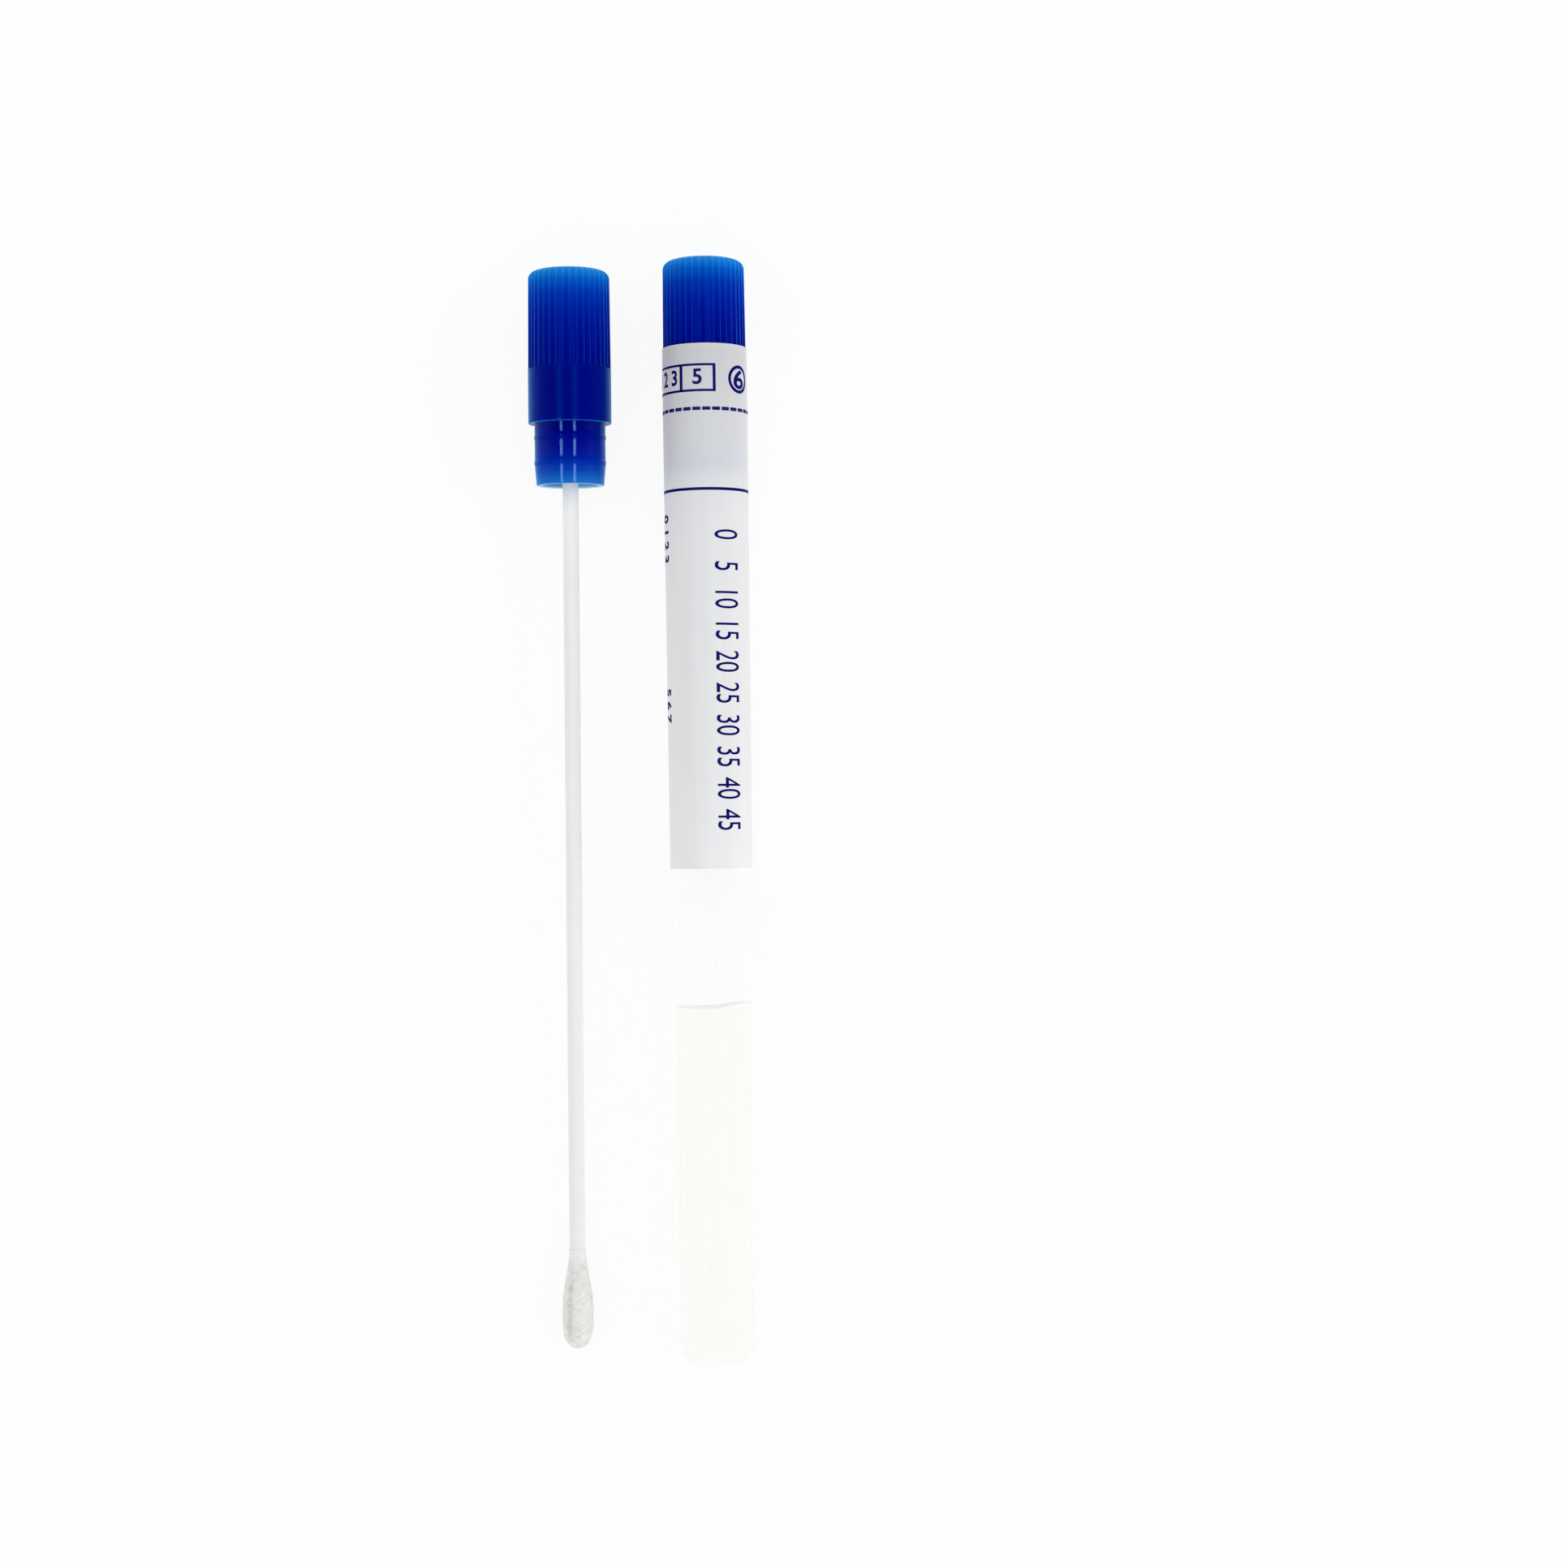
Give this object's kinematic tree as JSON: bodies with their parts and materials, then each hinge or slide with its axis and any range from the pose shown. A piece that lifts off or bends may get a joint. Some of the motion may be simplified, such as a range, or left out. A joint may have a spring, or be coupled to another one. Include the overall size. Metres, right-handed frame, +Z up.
{
  "type": "specimen swab tube",
  "caption": "Round-bottomed sampling tube part-filled with transport gel, closed by a ribbed push-in stopper under a tear-off label, with its capped swab lying beside it.",
  "frame": {"origin": "on the surface the pack rests on, under the middle of the box that holds the tube and the swab", "axes": "+Y along the tube from its round end to its stopper, +X across towards the tube's side, +Z up from the surface"},
  "size_m": [0.0346, 0.1742, 0.0136],
  "materials": {
    "tube": "clear, polished",
    "gel": "clear, very slightly cream",
    "label": "white film, faint sheen, navy print",
    "cap": "royal blue, translucent, moulded gloss",
    "shaft": "white, smooth",
    "fibre": "white spun fibre, wound"
  },
  "bodies": {
    "tube": {"tube": "tube", "transport_medium": "gel", "tube_label": "label", "swab_cap": "cap", "swab_shaft": "shaft", "swab_bud": "fibre"},
    "stopper": {"tube_stopper": "cap", "label_seal_band": "label"}
  },
  "joints": [
    {"name": "stopper_pull", "type": "slide", "parent": "tube", "child": "stopper", "axis": [0, 1, 0.0048], "range_m": [0, 0.03]}
  ]
}
